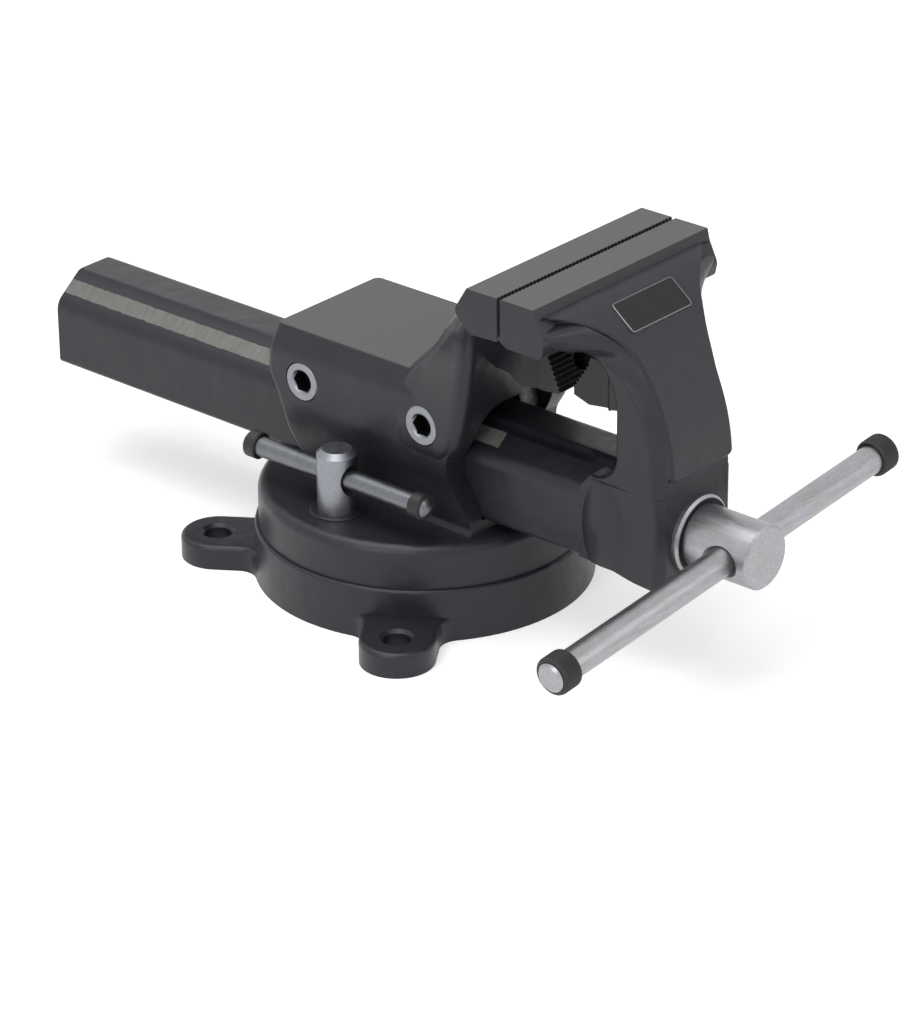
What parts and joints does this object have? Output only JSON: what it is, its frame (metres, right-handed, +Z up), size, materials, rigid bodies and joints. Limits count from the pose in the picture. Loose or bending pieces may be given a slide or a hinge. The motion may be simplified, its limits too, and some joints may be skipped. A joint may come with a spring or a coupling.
{
  "type": "bench vise",
  "caption": "Forged steel bench vise on a swivel base: sliding jaw with main screw and handle bar, pipe jaws under the flat jaws, small anvil, swivel clamp and base ears for bench bolts.",
  "frame": {"origin": "on the swivel axis, in the plane of the base's underside where it stands on the bench", "axes": "+Z up; +Y along the slide to its tail at the back; -Y to the operator and the handle; +X to the operator's right"},
  "size_m": [0.2532, 0.4272, 0.1876],
  "materials": {
    "dark_paint": "satin",
    "bright_steel": "satin",
    "zinc_steel": "satin",
    "bare_steel": "satin",
    "blackened_steel": "satin",
    "black_ring": "matte"
  },
  "bodies": {
    "base": {"swivel_base": "dark_paint"},
    "head": {"fixed_jaw_body": "dark_paint", "pivot_washer": "bare_steel", "pivot_screw": "bare_steel", "clamp_nut": "bare_steel", "spindle_nut": "bare_steel", "nut_screws": "bare_steel", "fixed_pipe_jaw": "blackened_steel", "fixed_pipe_jaw_screw": "blackened_steel", "guide_screw_left_front": "zinc_steel", "guide_shoe_left_front": "bare_steel", "guide_screw_left_rear": "zinc_steel", "guide_shoe_left_rear": "bare_steel", "guide_screw_right_front": "zinc_steel", "guide_shoe_right_front": "bare_steel", "guide_screw_right_rear": "zinc_steel", "guide_shoe_right_rear": "bare_steel"},
    "moving_jaw": {"moving_jaw": "dark_paint", "moving_pipe_jaw": "blackened_steel", "moving_pipe_jaw_screw": "blackened_steel", "thrust_washer": "bright_steel"},
    "spindle": {"spindle": "bright_steel", "spindle_retainer": "bare_steel", "retainer_screw": "bare_steel"},
    "handle_bar": {"handle_bar": "bright_steel", "bar_ring_left": "black_ring", "bar_ring_right": "black_ring"},
    "clamp_screw": {"clamp_screw": "zinc_steel"},
    "clamp_bar": {"clamp_bar": "zinc_steel", "clamp_bar_ring_front": "black_ring", "clamp_bar_ring_rear": "black_ring"}
  },
  "joints": [
    {"name": "swivel", "type": "hinge", "parent": "base", "child": "head", "pos_m": [0, 0, 0.0262], "axis": [0, 0, 1], "continuous": true},
    {"name": "jaw_slide", "type": "slide", "parent": "head", "child": "moving_jaw", "axis": [0, -1, 0], "range_m": [-0.0018, 0.148]},
    {"name": "spindle_turn", "type": "hinge", "parent": "moving_jaw", "child": "spindle", "pos_m": [0, -0.1663, 0.0689], "axis": [0, -1, 0], "range_deg": [-130, 10660]},
    {"name": "handle_slide", "type": "slide", "parent": "spindle", "child": "handle_bar", "axis": [0.9964, 0, 0.0844], "range_m": [-0.084, 0.107]},
    {"name": "clamp_turn", "type": "hinge", "parent": "head", "child": "clamp_screw", "pos_m": [-0.0552, 0.0055, 0.066], "axis": [0, 0, 1], "range_deg": [-10, 10]},
    {"name": "clamp_bar_slide", "type": "slide", "parent": "clamp_screw", "child": "clamp_bar", "axis": [0, 1, 0], "range_m": [-0.0388, 0.0388]}
  ],
  "couplings": [
    {"joint": "spindle_turn", "follows": "jaw_slide", "rad_per_m": 1256.6}
  ]
}
